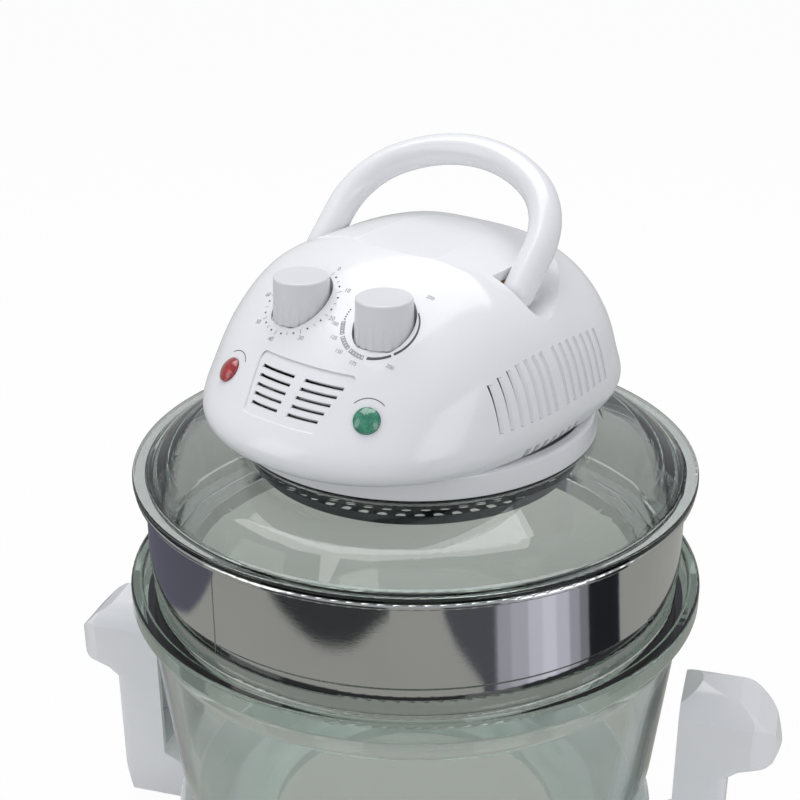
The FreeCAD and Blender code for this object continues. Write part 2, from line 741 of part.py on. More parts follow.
def well_shape(side, grow):
    """The round well that a knob turns in, grown by a margin for its wall."""
    radius = knob_radius.value + well_gap.value + grow
    low = well_floor.value - grow
    foot = Vector(side * knob_side.value, -knob_front.value, low)
    return Part.makeCylinder(radius, hood_top.value - low, foot)


def louvre_tools():
    """Two groups of seven leaning slots in each side wall, and a row of short slots below."""
    tools = []
    width = louvre_width.value
    pitch = louvre_pitch.value
    second = louvre_front.value + 6 * pitch + louvre_gap.value
    places = [louvre_front.value + index * pitch for index in range(7)]
    places += [second + index * pitch for index in range(7)]
    for place in places:
        from_highest = place - (louvre_front.value + 6 * pitch)
        fall = 0.005 if from_highest < 0 else 0.0012
        top = louvre_top.value - fall * from_highest**2
        length = top - louvre_low.value
        lean = louvre_lean.value * min((place - louvre_front.value) / (6 * pitch), 1)
        slot = Part.makeBox(60, width, length, Vector(hood_half.value - 40, -width / 2, 0))
        slot.rotate(Vector(0, 0, 0), Vector(1, 0, 0), lean)
        slot.translate(Vector(0, place, louvre_low.value))
        tools += both_sides(slot)
    for index in range(7):
        place = FIRST_SLOT + index * slot_pitch.value
        slot = Part.makeBox(40, slot_width.value, slot_length.value,
                            Vector(hood_half.value - 20, place, slot_height.value - slot_length.value / 2))
        tools += both_sides(slot)
    return tools


def grille_frame():
    """The front panel's slanting axes: its top middle, and the way down its face."""
    top, _ = dome_front(0, grille_top.value)
    bottom, _ = dome_front(0, grille_bottom.value)
    return top, bottom


def grille_tools():
    """A shallow four-sided recess in the front with two groups of five level slots."""
    top, bottom = grille_frame()
    half_top, half_bottom = grille_half_top.value, grille_half_bottom.value
    depth = 40.0
    corners = [Vector(-half_top, 0, top.z), Vector(half_top, 0, top.z),
               Vector(half_bottom, 0, bottom.z), Vector(-half_bottom, 0, bottom.z)]
    prism = Part.Face(Part.makePolygon(corners + corners[:1])).extrude(Vector(0, -depth, 0))
    prism.translate(Vector(0, -hood_front.value + depth, 0))
    edges = [edge for edge in prism.Edges if edge.BoundBox.YLength > 1]
    prism = prism.makeFillet(grille_corner.value, edges)
    recess = prism.cut(dome(grille_depth.value, hood_base.value - 1))
    tools = [recess]
    for index in range(5):
        height = grille_slot_low.value + grille_slot_pitch.value * index
        taper = (half_bottom - half_top) * (top.z - height) / (top.z - bottom.z)
        half = half_top + taper - grille_margin.value
        for side in (0, 1):
            start = grille_rib.value if side else -half
            slot = Part.makeBox(half - grille_rib.value, depth, grille_slot.value,
                                Vector(start, -hood_front.value, height - grille_slot.value / 2))
            tools.append(slot)
    return tools


def lens_axis(side):
    if side < 0:
        return dome_front(-red_side.value, red_height.value)
    return dome_front(green_side.value, green_height.value)


def make_upper_housing():
    """Moulded dome: a shell with handle pockets, knob wells, louvres, front grille and screw bosses."""
    wall = hood_wall.value
    outer = dome(0.0, hood_base.value)
    inner = dome(wall, hood_base.value - 1)
    keep = both_sides(pocket_shape(wall)) + [well_shape(side, wall) for side in (-1, 1)]
    for side in (-1, 1):
        for y in (-boss_front.value, boss_back.value):
            foot = Vector(side * boss_side.value, y, hood_base.value)
            keep.append(Part.makeCylinder(boss_radius.value, hood_top.value, foot))
    hollow = inner.cut(keep)
    shell = outer.cut([hollow] + both_sides(pocket_shape(0)) + [well_shape(side, 0) for side in (-1, 1)])
    tools = louvre_tools() + grille_tools()
    for side in (-1, 1):
        centre = Vector(side * knob_side.value, -knob_front.value, well_floor.value - 10)
        tools.append(Part.makeCylinder(control_shaft.value + 1, 20, centre))
        place, normal = lens_axis(side)
        tools.append(Part.makeCylinder(lens_radius.value + slip.value, 30, place - normal * 15, normal))
        pivot = Vector(0, pivot_back.value, pivot_height.value)
        tools.append(Part.makeCylinder(bush_radius.value, 24, pivot + Vector(side * 40, 0, 0),
                                       Vector(side, 0, 0)))
        for y in (-boss_front.value, boss_back.value):
            tools.append(Part.makeCylinder(screw_radius.value, 16, Vector(side * boss_side.value, y,
                                                                         hood_base.value - 1)))
    gland = Vector(0, hood_back.value - 20, gland_height.value)
    tools.append(Part.makeCylinder(gland_radius.value, 40, gland, Vector(0, 1, 0)))
    shell = shell.cut(tools)
    solids = sorted(shell.Solids, key=lambda solid: solid.Volume)
    node("upper_housing", in_head(feature("upper_housing", solids[-1])))
    screws = []
    for side in (-1, 1):
        for y in (-boss_front, boss_back):
            low = hood_base - floor_thick
            shank = cylinder("housing_shank", screw_radius, 14, side * boss_side, y, low - 0.5)
            screw_head = cylinder("housing_screw_head", screw_radius * 2, 2, side * boss_side, y, low - 2)
            screws.append(fuse("housing_screw", [shank, screw_head]))
    node("housing_screws", group("housing_screw_group", screws), True)


def make_lamps():
    """Domed red and green lenses in the front, each with a neon lamp behind it."""
    lamps = []
    for side, label in ((-1, "red_lens"), (1, "green_lens")):
        place, normal = lens_axis(side)
        radius = lens_radius.value
        proud = lens_proud.value
        barrel = Part.makeCylinder(radius, 7, place - normal * 6, normal)
        ball_radius = (radius**2 + proud**2) / (2 * proud)
        ball = Part.makeSphere(ball_radius, place + normal * (1 + proud - ball_radius))
        cap = Part.makeCylinder(radius, 10, place - normal * 6, normal).common(ball)
        lens = barrel.fuse(cap).removeSplitter()
        hollow = Part.makeCylinder(radius - 1.5, 5, place - normal * 6, normal)
        node(label, in_head(feature(label, lens.cut(hollow))))
        lamp = Part.makeCylinder(radius - 1.6, 16, place - normal * 17.1, normal)
        lamps.append(lamp)
    node("indicator_lamps", in_head(feature("indicator_lamps", Part.makeCompound(lamps))))


def make_knob(label, side):
    """Fluted knob, hollow below, with a boss that grips its shaft."""
    floor = well_floor + 0.6
    body = doc.addObject("PartDesign::Body", label)
    profile = outline(body, label + "_profile", "XZ_Plane", [
        (0, knob_height), (knob_radius - 0.9, knob_height), (knob_radius, 0), (knob_radius - knob_wall, 0),
        (knob_radius - knob_wall, knob_height - knob_wall), (control_shaft + 3, knob_height - knob_wall),
        (control_shaft + 3, 1.5), (control_shaft, 1.5), (control_shaft, knob_height - knob_wall - 3),
        (0, knob_height - knob_wall - 3)])
    solid = body.newObject("PartDesign::Revolution", label + "_turn")
    solid.Profile = profile
    solid.ReferenceAxis = (profile, ["V_Axis"])
    solid.Angle = 360
    doc.recompute()
    rim = [(float(knob_radius) - 0.9, float(knob_height))]
    edges = [f"Edge{i + 1}" for i, edge in enumerate(solid.Shape.Edges) if at_mark(edge, rim)]
    rounding = body.newObject("PartDesign::Fillet", label + "_round")
    rounding.Base = (solid, edges)
    rounding.Radius = 1.2
    doc.recompute()
    sketch = body.newObject("Sketcher::SketchObject", label + "_flute")
    sketch.AttachmentSupport = [(plane_of(body, "XY_Plane"), "")]
    sketch.MapMode = "FlatFace"
    place = knob_radius + flute_radius - flute_depth
    circle = Part.Circle(Vector(place.value, 0, 0), Vector(0, 0, 1), flute_radius.value)
    sketch.addGeometry(circle, False)
    sketch.addConstraint(Sketcher.Constraint("PointOnObject", 0, 3, -1))
    number = sketch.addConstraint(Sketcher.Constraint("Radius", 0, flute_radius.value))
    sketch.setExpression(f"Constraints[{number}]", flute_radius.text)
    number = sketch.addConstraint(Sketcher.Constraint("DistanceX", -1, 1, 0, 3, place.value))
    sketch.setExpression(f"Constraints[{number}]", place.text)
    flute = body.newObject("PartDesign::Pocket", label + "_flute_cut")
    flute.Profile = sketch
    bind(flute, "Length", knob_height - 2)
    flute.Reversed = True
    doc.recompute()
    pattern = body.newObject("PartDesign::PolarPattern", label + "_flutes")
    pattern.Originals = [flute]
    pattern.Axis = (plane_of(body, "Z_Axis"), [""])
    pattern.Angle = 360
    pattern.Occurrences = 20
    body.Tip = pattern
    doc.recompute()
    turn = math.radians(head_turn.value)
    x, y = side * knob_side, -knob_front
    move(body, x * math.cos(turn) - y * math.sin(turn), x * math.sin(turn) + y * math.cos(turn),
         rim_height + floor, head_turn)
    node(label, body)


def make_controls():
    """Timer with its bell, and thermostat with its bulb, each hung under its knob's well."""
    under = well_floor - hood_wall
    timer_low = control_top - timer_depth
    case = box("timer_case", timer_side, timer_side, timer_depth, -knob_side, timer_back - knob_front,
               timer_low)
    neck = cylinder("timer_neck", control_neck, under - control_top, -knob_side, -knob_front, control_top)
    bore = cylinder("timer_bore", control_shaft + running_gap, 16, -knob_side, -knob_front, under - 15)
    node("timer", cut("timer_cut", fuse("timer_whole", [case, neck]), [bore]), True)
    shell = cylinder("bell_shell", bell_radius, bell_height, -knob_side, -knob_front, timer_low - bell_height)
    inside = cylinder("bell_inside", bell_radius - 1, bell_height - 1, -knob_side, -knob_front,
                      timer_low - bell_height)
    node("timer_bell", cut("bell_cut", shell, [inside]), True)
    can_low = control_top - thermostat_depth
    can = cylinder("thermostat_can", thermostat_radius, thermostat_depth, knob_side, -knob_front, can_low)
    neck = cylinder("thermostat_neck", control_neck, under - control_top, knob_side, -knob_front, control_top)
    bore = cylinder("thermostat_bore", control_shaft + running_gap, 16, knob_side, -knob_front, under - 15)
    node("thermostat", cut("thermostat_cut", fuse("thermostat_whole", [can, neck]), [bore]), True)
    start = Vector(knob_side.value, -knob_front.value, can_low.value)
    x, y = capillary_place()
    end = Vector(float(x), float(y), 0)
    low = start.z - 12
    path = bent_path([start, Vector(start.x, start.y, low), Vector(end.x, end.y, low - 14),
                      Vector(end.x, end.y, 24)], 5)
    tube = swept(path, 1.0)
    bulb = Part.makeCylinder(2.6, 16, Vector(end.x, end.y, 8))
    bulb = bulb.makeFillet(1.5, [bulb.Edges[2]])
    node("thermostat_bulb", in_head(feature("thermostat_bulb", tube.fuse(bulb))))
    for label, side, reach in (("timer_shaft", -1, 14), ("thermostat_shaft", 1, 14)):
        low = under - reach
        high = well_floor + 0.6 + knob_height - knob_wall - 3.2
        node(label, cylinder(label, control_shaft, high - low, side * knob_side, -knob_front, low), True)


def swept(path, radius):
    """A solid round rod along a path."""
    start = path.Edges[0]
    ring = Part.Wire(Part.makeCircle(radius, start.valueAt(start.FirstParameter),
                                     start.tangentAt(start.FirstParameter)))
    sweep = Part.BRepOffsetAPI.MakePipeShell(path)
    sweep.add(ring)
    sweep.build()
    sweep.makeSolid()
    return sweep.shape()


def bent_path(points, radius):
    """Straight runs joined by tangent arcs."""
    edges = []
    start = points[0]
    for before, corner, after in zip(points, points[1:], points[2:]):
        into = (corner - before).normalize()
        out = (after - corner).normalize()
        turn = into.getAngle(out)
        back = radius * math.tan(turn / 2)
        first = corner - into * back
        last = corner + out * back
        bisector = (out - into).normalize()
        middle = corner + bisector * (radius / math.cos(turn / 2) - radius)
        edges.append(Part.LineSegment(start, first).toShape())
        edges.append(Part.Arc(first, middle, last).toShape())
        start = last
    edges.append(Part.LineSegment(start, points[-1]).toShape())
    return Part.Wire(edges)


def make_handle():
    """Arched carry handle: a round tube on two legs, pinned to the dome, leaning back."""
    half, corner = handle_half.value, handle_corner.value
    angle = math.radians(handle_corner_angle.value)
    crown = (half - corner + corner * math.cos(angle)) / math.cos(angle)
    leg = handle_height.value - corner * math.sin(angle) - crown * (1 - math.sin(angle))
    lean = Rotation(Vector(1, 0, 0), -handle_lean.value)
    pivot = Vector(0, pivot_back.value, pivot_height.value)

    def at(x, up):
        return pivot + lean.multVec(Vector(x, 0, up))

    def arc_point(turn):
        return at(half - corner + corner * math.cos(turn), leg + corner * math.sin(turn))

    right_end, mid, join = at(half, leg), arc_point(angle / 2), arc_point(angle)
    top = at(0, handle_height.value)
    mirror = [Vector(-p.x, p.y, p.z) for p in (right_end, mid, join)]
    path = Part.Wire([
        Part.LineSegment(at(half, 0), right_end).toShape(), Part.Arc(right_end, mid, join).toShape(),
        Part.Arc(join, top, mirror[2]).toShape(), Part.Arc(mirror[2], mirror[1], mirror[0]).toShape(),
        Part.LineSegment(mirror[0], at(-half, 0)).toShape()])
    grip = swept(path, handle_tube.value)
    for side in (-1, 1):
        grip = grip.fuse(Part.makeSphere(handle_tube.value, at(side * half, 0)))
    for side in (-1, 1):
        start = pivot + Vector(side * (half - handle_tube.value - 1), 0, 0)
        grip = grip.cut(Part.makeCylinder(pivot_pin.value, handle_tube.value + 3, start, Vector(side, 0, 0)))
    node("carry_handle", in_head(feature("carry_handle", grip.removeSplitter())))
    pins = []
    bushes = []
    wall_in = handle_half - handle_tube - pocket_gap - hood_wall
    pin_in = wall_in - 6
    for side in (-1, 1):
        start = pin_in if side > 0 else -pin_in - (handle_half + 2 - pin_in)
        pins.append(cylinder("pivot_pin", pivot_pin, handle_half + 2 - pin_in, start, pivot_back,
                             pivot_height, "x"))
        low = wall_in - bush_collar if side > 0 else -wall_in - hood_wall
        sleeve = cylinder("bush_sleeve", bush_radius, hood_wall + bush_collar, low, pivot_back,
                          pivot_height, "x")
        face_low = wall_in - bush_collar if side > 0 else -wall_in
        collar = cylinder("bush_collar", bush_radius + 2, bush_collar, face_low, pivot_back,
                          pivot_height, "x")
        bore_low = wall_in - bush_collar * 2 if side > 0 else -wall_in - hood_wall - 1
        bore = cylinder("bush_bore", pivot_pin + running_gap, hood_wall + bush_collar * 3, bore_low,
                        pivot_back, pivot_height, "x")
        bushes.append(cut("bush", fuse("bush_whole", [sleeve, collar]), [bore]))
    node("handle_pins", group("pin_group", pins), True)
    node("handle_bushes", group("bush_group", bushes), True)
    reach = 11
    hub = cylinder("cam_hub", pivot_pin + 3, 3, -pin_in - 2, pivot_back, pivot_height, "x")
    lobe = box("cam_lobe", 3, 7, reach, -pin_in - 0.5, pivot_back, pivot_height - reach)
    bore = cylinder("cam_bore", pivot_pin, 6, -pin_in - 3, pivot_back, pivot_height, "x")
    node("switch_cam", cut("switch_cam_cut", fuse("cam_whole", [hub, lobe]), [bore]), True)
    pocket_under = pivot_height - handle_tube - pocket_gap - hood_wall
    node("safety_switch", box("safety_switch", 19, 20, 10, -wall_in, pivot_back, pocket_under - 10), True)


def make_motor():
    """Shaded-pole motor: laminations with a coil on the back leg, two brackets with sleeve bearings."""
    top = motor_seat + stator_height
    half = stator_half
    core = box("stator_core", half * 2, half * 2 - 4, stator_height, 0, 0, motor_seat)
    limb = stator_limb
    leg_length = coil_reach - limb / 2 + 4
    leg_middle = half - 4 + leg_length / 2
    left = box("stator_leg", limb, leg_length, stator_height, limb / 2 - half, leg_middle, motor_seat)
    right = box("stator_leg_right", limb, leg_length, stator_height, half - limb / 2, leg_middle, motor_seat)
    bar = box("stator_bar", half * 2, limb, stator_height, 0, half + coil_reach, motor_seat)
    bore = cylinder("stator_bore", rotor_radius + air_gap, stator_height + 2, 0, 0, motor_seat - 1)
    tools = [bore]
    for side in (-1, 1):
        for y in (-post_front, post_front):
            tools.append(cylinder("stator_hole", screw_radius + slip, stator_height + 2, side * post_side, y,
                                  motor_seat - 1))
    node("motor_stator", cut("stator_cut", fuse("stator_whole", [core, left, right, bar]), tools), True)
    winding = box("winding", coil_width, limb + coil_swell * 2, stator_height + coil_swell * 2, 0,
                  half + coil_reach, motor_seat - coil_swell)
    window = box("winding_window", coil_width + 6, limb + 2 * slip, stator_height + 2 * slip, 0,
                 half + coil_reach, motor_seat - slip)
    node("motor_coil", cut("coil_cut", winding, [window]), True)
    bearings = []
    for label, face, way in (("lower_bracket", motor_seat, -1), ("upper_bracket", top, 1)):
        plate_low = face + bracket_gap if way > 0 else face - bracket_gap - bracket_sheet
        leg_low = face if way > 0 else face - bracket_gap
        plate = box(label + "_plate", post_side * 2 + 12, 20, bracket_sheet, 0, 0, plate_low)
        legs = [box(label + "_leg", bracket_sheet * 2, 20, bracket_gap, side * (post_side + 4), 0, leg_low)
                for side in (-1, 1)]
        hole = cylinder(label + "_hole", bearing_radius, bracket_sheet * 3, 0, 0, plate_low - bracket_sheet)
        node(label, cut(label + "_cut", fuse(label + "_whole", [plate] + legs), [hole]), True)
        low = plate_low - (bearing_height - bracket_sheet) / 2
        sleeve = cylinder("bearing_sleeve", bearing_radius, bearing_height, 0, 0, low)
        hole = cylinder("bearing_bore", motor_shaft_radius + running_gap, bearing_height * 2, 0, 0,
                        low - bearing_height / 2)
        bearings.append(cut("bearing", sleeve, [hole]))
    node("motor_bearings", group("bearing_group", bearings), True)
    posts = []
    for side in (-1, 1):
        for y in (-post_front, post_front):
            low = floor_height + floor_thick
            post = cylinder("post", post_radius, motor_seat - low, side * post_side, y, low)
            stud = cylinder("post_stud", screw_radius, top + 3 - floor_height, side * post_side, y,
                            floor_height)
            nut = cylinder("post_nut", post_radius, 2.4, side * post_side, y, top)
            posts.append(fuse("motor_post", [post, stud, nut]))
    node("motor_posts", group("post_group", posts), True)


def make_rotor():
    """Everything that spins: rotor, shaft, cooling fan above, oven fan and its nut below."""
    top = motor_seat + stator_height
    shaft_low = guard_sheet + 2
    shaft_high = cooling_fan_low + cooling_fan_height + 2
    shaft = cylinder("motor_shaft", motor_shaft_radius, shaft_high - shaft_low, 0, 0, shaft_low)
    node("motor_shaft", shaft, True)
    can = cylinder("rotor_can", rotor_radius, stator_height - 2, 0, 0, motor_seat + 1)
    bore = cylinder("rotor_bore", motor_shaft_radius, top, 0, 0, motor_seat - 5)
    node("motor_rotor", cut("rotor_cut", can, [bore]), True)
    node("cooling_fan", in_head(feature("cooling_fan", fan_shape(
        7, cooling_fan_radius.value, 8.0, cooling_fan_low.value, cooling_fan_height.value, 38, 1.2))))
    node("oven_fan", in_head(feature("oven_fan", fan_shape(
        8, oven_fan_radius.value, 9.0, oven_fan_low.value, oven_fan_height.value, 50, 1.0))))
    low = guard_sheet + 2.5
    height = oven_fan_low - low
    nut = cylinder("fan_nut_body", motor_shaft_radius + 3, height, 0, 0, low)
    bore = cylinder("fan_nut_bore", motor_shaft_radius, 20, 0, 0, low - 5)
    node("fan_nut", cut("fan_nut_cut", nut, [bore]), True)


def fan_shape(blades, radius, hub, low, height, pitch, thick):
    """A hub with a ring of flat blades set at a pitch."""
    middle = low + height / 2
    shape = Part.makeCylinder(hub, height, Vector(0, 0, low))
    band = Part.makeCylinder(radius, height, Vector(0, 0, low))
    for index in range(blades):
        corner = Vector(hub - 2, -height * 1.2, -thick / 2)
        blade = Part.makeBox(radius + 4 - hub + 2, height * 2.4, thick, corner)
        blade.rotate(Vector(0, 0, 0), Vector(1, 0, 0), pitch)
        blade.translate(Vector(0, 0, middle))
        blade.rotate(Vector(0, 0, 0), Vector(0, 0, 1), 360 * index / blades)
        shape = shape.fuse(blade.common(band))
    bore = Part.makeCylinder(motor_shaft_radius.value, height * 2, Vector(0, 0, low - height / 2))
    return shape.cut(bore).removeSplitter()


def make_heater():
    """Reflector pan, tubular element on clips and bushes, and the perforated guard on standoffs."""
    pan_top = floor_height
    pan_low = pan_top - pan_sheet
    rim_low = lid_rise - lid_glass
    pan = turned("pan_body", [
        (shaft_hole, pan_low), (pan_radius - pan_sheet, pan_low, 1.5), (pan_radius - pan_sheet, rim_low),
        (pan_radius, rim_low), (pan_radius, pan_top, 2.3), (shaft_hole, pan_top)])
    legs = list(element_legs())
    tools = [cylinder("pan_hole", element_tube + 2, 10, x, y, pan_low - 4) for x, y, _ in legs]
    tools.append(cylinder("pan_capillary_hole", 2, 10, *capillary_place(), pan_low - 4))
    node("reflector_pan", cut("pan_cut", pan, tools), True)
    bushes = []
    for x, y, _ in legs:
        bush = cylinder("element_bush", element_tube + 2, pan_sheet + floor_thick, x, y, pan_low)
        flange = cylinder("element_flange", element_tube + 4, 2, x, y, floor_height + floor_thick)
        bore = cylinder("element_bush_bore", element_tube, 20, x, y, pan_low - 5)
        bushes.append(cut("bush_piece", fuse("bush_body", [bush, flange]), [bore]))
    node("heating_element", in_head(feature("heating_element", element_shape())))
    node("element_bushes", group("element_bush_group", bushes), True)
    clips = []
    for _, _, angle in around(3, element_radius, 270):
        strap_low = element_height.value + element_tube.value
        circle, tube, middle = element_radius.value, element_tube.value, element_height.value
        along = Vector(0, 1, 0)
        strap = Part.makeBox(1.2, 7, pan_low.value - strap_low, Vector(circle - 0.6, -3.5, strap_low))
        loop = Part.makeCylinder(tube + 1.2, 7, Vector(circle, -3.5, middle), along)
        bore = Part.makeCylinder(tube + 0.1, 9, Vector(circle, -4.5, middle), along)
        clip = strap.fuse(loop).cut(bore).removeSplitter()
        clip.rotate(Vector(0, 0, 0), Vector(0, 0, 1), angle)
        clips.append(clip)
    node("element_clips", in_head(feature("element_clips", Part.makeCompound(clips))))
    node("element_guard", in_head(feature("element_guard", guard_shape())))
    posts = []
    for x, y, _ in around(3, guard_radius - standoff_inset, 0):
        body = cylinder("standoff", standoff_radius, pan_low - guard_sheet, x, y, guard_sheet)
        posts.append(body)
    node("guard_standoffs", group("standoff_group", posts), True)


def guard_shape():
    """Perforated plate with an upturned rim: two rows of round holes, then two rings of arc slots."""
    radius, sheet_thick = guard_radius.value, guard_sheet.value
    plate = Part.makeCylinder(radius, sheet_thick + guard_rim.value)
    plate = plate.cut(Part.makeCylinder(radius - sheet_thick, guard_rim.value, Vector(0, 0, sheet_thick)))
    tools = []
    for row in (0, 1):
        circle = radius - guard_row_inset.value - row * guard_row_pitch.value
        count = 4 * round(2 * math.pi * circle / guard_pitch.value / 4)
        for index in range(count):
            angle = 2 * math.pi * (index + 0.5 * (row + 1)) / count
            if row == 0 and abs((math.degrees(angle) + 60) % 120 - 60) < 4.5:
                continue
            place = Vector(circle * math.cos(angle), circle * math.sin(angle), -1)
            tools.append(Part.makeCylinder(guard_hole.value, sheet_thick + 2, place))
    arc_outer = guard_arc_outer.value
    arc_inner = arc_outer - guard_arc_width.value
    for outer, inner in ((arc_outer, arc_inner), (arc_inner - guard_arc_web.value, guard_hub.value)):
        for index in range(8):
            sector = Part.makeCylinder(outer, sheet_thick + 2, Vector(0, 0, -1), Vector(0, 0, 1), 36)
            sector = sector.cut(Part.makeCylinder(inner, sheet_thick + 4, Vector(0, 0, -2)))
            sector.rotate(Vector(0, 0, 0), Vector(0, 0, 1), 45 * index + 4.5)
            tools.append(sector)
    return plate.cut(tools)


def make_wiring():
    """Terminal block on the plate, and the gland where a mains lead enters behind."""
    block = box("terminal_block", 30, 12, 14, -44, 62, floor_height + floor_thick)
    node("terminal_block", block, True)
    wall_y = hood_back - 4
    length = 14
    barrel = cylinder("gland_barrel", gland_radius - slip, length, 0, wall_y - 6, gland_height, "y")
    flange = cylinder("gland_flange", gland_radius + 3, 3, 0, hood_back + 0.3, gland_height, "y")
    bore = cylinder("gland_bore", gland_bore, length + 10, 0, wall_y - 8, gland_height, "y")
    node("cord_gland", cut("gland_cut", fuse("gland_whole", [barrel, flange]), [bore]), True)


def check_and_export():
    """Stops on any failed object or empty sub-part, then writes one STEP file for each sub-part."""
    doc.recompute()
    for obj in doc.Objects:
        if "Invalid" in obj.State or "Error" in obj.State:
            raise RuntimeError(f"{obj.Name} did not build: {obj.State}")
    os.makedirs("parts", exist_ok=True)
    for label, obj in nodes.items():
        shape = obj.Shape
        if shape.isNull() or not shape.isValid() or not shape.Solids:
            raise RuntimeError(f"{label} has no valid solid")
        shape.exportStep(f"parts/{label}.step")
        print(label, len(shape.Solids), "solids", round(shape.Volume), "mm3")
    print(len(nodes), "sub-parts")


make_stand()
make_bowl()
make_ring()
make_lid()
make_lower_housing()
make_upper_housing()
make_lamps()
make_knob("timer_knob", -1)
make_knob("thermostat_knob", 1)
make_controls()
make_handle()
make_motor()
make_rotor()
make_heater()
make_wiring()
check_and_export()
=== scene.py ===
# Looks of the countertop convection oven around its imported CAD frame. Metres, +Z up.
import json
import math

import bpy
from mathutils import Matrix, Vector
from mathutils.bvhtree import BVHTree

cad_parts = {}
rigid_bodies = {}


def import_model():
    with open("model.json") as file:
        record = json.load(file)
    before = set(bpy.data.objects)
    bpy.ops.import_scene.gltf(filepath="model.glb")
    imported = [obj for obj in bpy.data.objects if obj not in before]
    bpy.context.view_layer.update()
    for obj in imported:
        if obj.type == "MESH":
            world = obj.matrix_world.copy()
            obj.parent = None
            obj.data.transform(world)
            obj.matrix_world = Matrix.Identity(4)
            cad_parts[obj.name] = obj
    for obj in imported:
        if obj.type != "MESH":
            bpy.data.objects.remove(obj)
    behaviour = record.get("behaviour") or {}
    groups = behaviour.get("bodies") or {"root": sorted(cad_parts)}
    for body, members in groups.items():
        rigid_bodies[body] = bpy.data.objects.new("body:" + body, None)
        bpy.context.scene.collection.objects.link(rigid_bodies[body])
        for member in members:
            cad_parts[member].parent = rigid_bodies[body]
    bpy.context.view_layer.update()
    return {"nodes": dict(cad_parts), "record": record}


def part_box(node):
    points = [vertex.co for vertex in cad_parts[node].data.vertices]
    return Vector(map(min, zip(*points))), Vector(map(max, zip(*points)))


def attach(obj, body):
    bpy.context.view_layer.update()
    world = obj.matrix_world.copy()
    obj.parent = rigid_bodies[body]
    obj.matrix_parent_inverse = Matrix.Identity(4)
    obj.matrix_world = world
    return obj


for leftover in list(bpy.data.objects):
    bpy.data.objects.remove(leftover)

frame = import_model()
nodes = frame["nodes"]
MM = 0.001

# Places of the head: its frame stands on the lid's rim and is turned on the bowl
RIM_HEIGHT = 275
HEAD_TURN = -21
KNOB_SIDE = 28
KNOB_FRONT = 65
HEAD = Matrix.Translation((0, 0, RIM_HEIGHT * MM)) @ Matrix.Rotation(math.radians(HEAD_TURN), 4, "Z")


def head_point(x, y, z):
    """A point of the head's frame, in millimetres, as a place in the row frame."""
    return HEAD @ Vector((x * MM, y * MM, z * MM))


# Materials


def material(name, **plain):
    """A Principled material with its plain values set on the shader, and its node tree."""
    made = bpy.data.materials.new(name)
    made.use_nodes = True
    shader = made.node_tree.nodes["Principled BSDF"]
    for socket, value in plain.items():
        shader.inputs[socket.replace("_", " ")].default_value = value
    return made, made.node_tree, shader


def noise(tree, scale, stretch=(1, 1, 1), detail=3.0, around=False):
    """Noise in real size. With around, its first coordinate runs round the bowl's axis."""
    place = tree.nodes.new("ShaderNodeTexCoord").outputs["Object"]
    if around:
        split = tree.nodes.new("ShaderNodeSeparateXYZ")
        tree.links.new(place, split.inputs["Vector"])
        angle = tree.nodes.new("ShaderNodeMath")
        angle.operation = "ARCTAN2"
        tree.links.new(split.outputs["Y"], angle.inputs[0])
        tree.links.new(split.outputs["X"], angle.inputs[1])
        joined = tree.nodes.new("ShaderNodeCombineXYZ")
        tree.links.new(angle.outputs["Value"], joined.inputs["X"])
        tree.links.new(split.outputs["Z"], joined.inputs["Z"])
        place = joined.outputs["Vector"]
    mapping = tree.nodes.new("ShaderNodeMapping")
    mapping.inputs["Scale"].default_value = stretch
    tree.links.new(place, mapping.inputs["Vector"])
    texture = tree.nodes.new("ShaderNodeTexNoise")
    texture.inputs["Scale"].default_value = scale
    texture.inputs["Detail"].default_value = detail
    tree.links.new(mapping.outputs["Vector"], texture.inputs["Vector"])
    return texture.outputs["Fac"]


def spread(tree, value, low, high):
    """A noise value mapped from its usual middle range to low and high."""
    span = tree.nodes.new("ShaderNodeMapRange")
    span.inputs["From Min"].default_value = 0.3
    span.inputs["From Max"].default_value = 0.7
    span.inputs["To Min"].default_value = low
    span.inputs["To Max"].default_value = high
    tree.links.new(value, span.inputs["Value"])
    return span.outputs["Result"]


def shade(tree, shader, value, first, second):
    """Base colour between two close colours, led by a noise value."""
    mix = tree.nodes.new("ShaderNodeMix")
    mix.data_type = "RGBA"
    mix.inputs["A"].default_value = (*first, 1)
    mix.inputs["B"].default_value = (*second, 1)
    tree.links.new(spread(tree, value, 0, 1), mix.inputs["Factor"])
    tree.links.new(mix.outputs["Result"], shader.inputs["Base Color"])


def bump(tree, shader, value, depth):
    """Surface relief of that depth in metres."""
    relief = tree.nodes.new("ShaderNodeBump")
    relief.inputs["Strength"].default_value = 1.0
    relief.inputs["Distance"].default_value = depth
    tree.links.new(value, relief.inputs["Height"])
    tree.links.new(relief.outputs["Normal"], shader.inputs["Normal"])


def plastic(name, first, second, low, high, coat, relief):
    """Moulded plastic: a faint change of colour and gloss, and a shallow waviness of the mould."""
    made, tree, shader = material(name, IOR=1.5, Coat_Weight=coat, Coat_Roughness=0.06)
    shade(tree, shader, noise(tree, 18), first, second)
    tree.links.new(spread(tree, noise(tree, 60), low, high), shader.inputs["Roughness"])
    if relief:
        bump(tree, shader, noise(tree, 900), relief)
    return made


